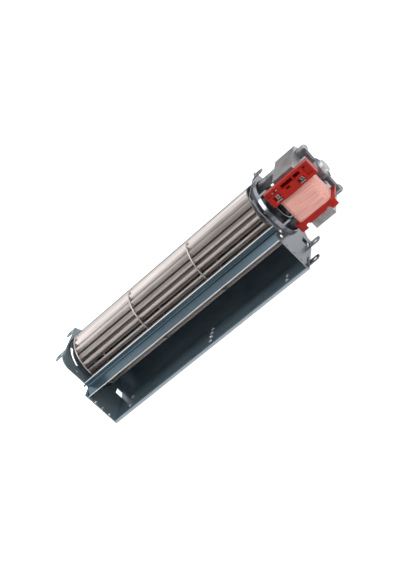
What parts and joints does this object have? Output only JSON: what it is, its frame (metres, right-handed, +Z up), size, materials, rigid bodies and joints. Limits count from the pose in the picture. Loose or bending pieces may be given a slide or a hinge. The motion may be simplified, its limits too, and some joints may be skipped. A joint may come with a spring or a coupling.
{
  "type": "cross flow fan",
  "caption": "Cross flow fan: a long bladed impeller in a folded sheet housing with a slot outlet, driven by a small open motor at one end.",
  "frame": {"origin": "the middle of the fan's footprint at the level of the housing's lower edges", "axes": "+X along the shaft from the bearing end to the motor, the outlet faces -Y, +Z is up"},
  "size_m": [0.3326, 0.0892, 0.081],
  "materials": {
    "blade_metal": "polished",
    "galvanised_sheet": "satin",
    "stack_steel": "satin",
    "shaft_steel": "ground",
    "spring_steel": "bright",
    "screw_steel": "zinc plated",
    "rivet_metal": "bright",
    "cage_aluminium": "as cast",
    "zinc_casting": "as cast",
    "sintered_bronze": "sintered",
    "ring_copper": "bare",
    "tinned_brass": "tinned",
    "coil_wrap": "matt",
    "red_plastic": "moulded",
    "black_plastic": "moulded",
    "black_rubber": "moulded"
  },
  "bodies": {
    "housing": {"bearing_rubber": "black_rubber", "rear_wall": "galvanised_sheet", "tongue_plate": "galvanised_sheet", "bearing_end_plate": "galvanised_sheet", "motor_end_plate": "galvanised_sheet", "tongue_rivets": "rivet_metal", "bearing_cup": "black_plastic", "bearing_bush": "sintered_bronze", "inner_motor_bush": "sintered_bronze", "outer_motor_bush": "sintered_bronze", "stator_core": "stack_steel", "coil_core": "stack_steel", "shading_ring_top": "ring_copper", "shading_ring_bottom": "ring_copper", "coil_bobbin": "red_plastic", "coil_winding": "coil_wrap", "coil_terminals": "tinned_brass", "inner_bracket": "zinc_casting", "outer_bracket": "zinc_casting", "inner_bearing_clip": "spring_steel", "outer_bearing_clip": "spring_steel", "bracket_screw_top": "screw_steel", "bracket_screw_bottom": "screw_steel", "motor_screw_top": "screw_steel", "motor_screw_bottom": "screw_steel"},
    "impeller": {"blade_01": "blade_metal", "blade_02": "blade_metal", "blade_03": "blade_metal", "blade_04": "blade_metal", "blade_05": "blade_metal", "blade_06": "blade_metal", "blade_07": "blade_metal", "blade_08": "blade_metal", "blade_09": "blade_metal", "blade_10": "blade_metal", "blade_11": "blade_metal", "blade_12": "blade_metal", "blade_13": "blade_metal", "blade_14": "blade_metal", "blade_15": "blade_metal", "blade_16": "blade_metal", "blade_17": "blade_metal", "blade_18": "blade_metal", "blade_19": "blade_metal", "blade_20": "blade_metal", "blade_21": "blade_metal", "blade_22": "blade_metal", "middle_ring_1": "blade_metal", "middle_ring_2": "blade_metal", "bearing_side_disc": "blade_metal", "motor_side_disc": "blade_metal", "stub_shaft": "shaft_steel", "coupling_rubber": "black_rubber", "coupling_sleeve": "shaft_steel", "motor_shaft": "shaft_steel", "rotor_core": "stack_steel", "rotor_cage": "cage_aluminium", "inner_shaft_spacer": "black_plastic", "outer_shaft_spacer": "black_plastic"}
  },
  "joints": [
    {"name": "impeller_spin", "type": "hinge", "parent": "housing", "child": "impeller", "pos_m": [-0.0263, 0.00815, 0.05], "axis": [-1, 0, 0], "continuous": true}
  ]
}
